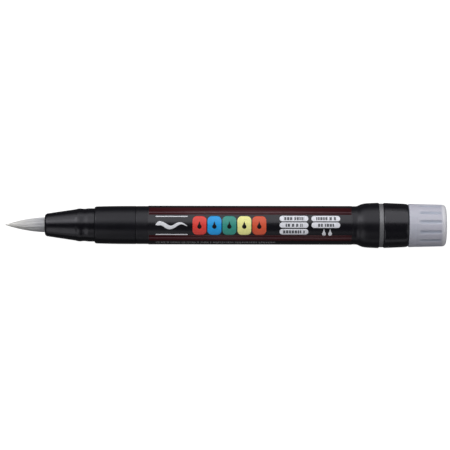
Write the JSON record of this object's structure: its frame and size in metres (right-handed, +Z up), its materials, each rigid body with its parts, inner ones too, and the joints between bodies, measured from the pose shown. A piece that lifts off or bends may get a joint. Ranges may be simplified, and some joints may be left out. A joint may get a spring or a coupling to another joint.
{
  "type": "brush-tip paint marker",
  "caption": "Capless round brush-tip paint marker with a tapered bristle tuft, a sprung valve behind it, a label film on the barrel and a press button at the tail.",
  "frame": {"origin": "on the surface that the marker lies on, under the middle of its length", "axes": "+X along the marker, from the brush to the tail; +Z up, out of the printed side of the label"},
  "size_m": [0.152, 0.0156, 0.0157],
  "materials": {
    "black_plastic": "satin moulded",
    "label_film": "glossy printed film",
    "grey_plastic": "satin silver-grey",
    "pale_plastic": "satin, slightly see-through",
    "natural_plastic": "natural, uncoloured",
    "bristles": "fine synthetic filaments",
    "rubber": "matte",
    "steel": "bright drawn wire and ball"
  },
  "bodies": {
    "marker": {"barrel": "black_plastic", "label_film": "label_film", "front_holder": "black_plastic", "nozzle": "black_plastic", "nozzle_seal": "rubber", "tank_seal": "rubber", "tuft_ferrule": "natural_plastic", "ferrule_plug": "natural_plastic", "bristle_root": "bristles", "feed_tube": "natural_plastic", "spring_cage": "natural_plastic", "valve_body": "natural_plastic", "valve_spring": "steel", "rear_bush": "natural_plastic", "bush_seal": "rubber", "plunger_seal": "rubber", "knock_spring": "steel"},
    "brush": {"bristle_tuft": "bristles"},
    "valve": {"valve_stem": "natural_plastic", "valve_washer": "rubber"},
    "knock": {"tail_sleeve": "grey_plastic", "tail_collar": "black_plastic", "tail_cap": "pale_plastic", "plunger": "natural_plastic", "plunger_stop": "steel", "push_rod": "natural_plastic"},
    "ball": {"mixing_ball": "steel"}
  },
  "joints": [
    {"name": "brush_flex", "type": "hinge", "parent": "marker", "child": "brush", "pos_m": [-0.0622, 0, 0.00783], "axis": [0, 1, 0], "range_deg": [-30, 30], "stiffness_Nm_per_rad": 0.001},
    {"name": "knock_slide", "type": "slide", "parent": "marker", "child": "knock", "axis": [-1, 0, 0], "range_m": [0, 0.0014], "stiffness_N_per_m": 1500, "springref_m": -0.001, "deforming": ["knock_spring"]},
    {"name": "valve_slide", "type": "slide", "parent": "marker", "child": "valve", "axis": [-1, 0, 0], "range_m": [0, 0.0014], "stiffness_N_per_m": 200, "springref_m": -0.001, "deforming": ["valve_spring"]},
    {"name": "mixing_ball_slide", "type": "slide", "parent": "marker", "child": "ball", "axis": [1, 0, 0], "range_m": [0, 0.0446]}
  ],
  "couplings": [
    {"joint": "valve_slide", "follows": "knock_slide", "ratio": 1}
  ]
}
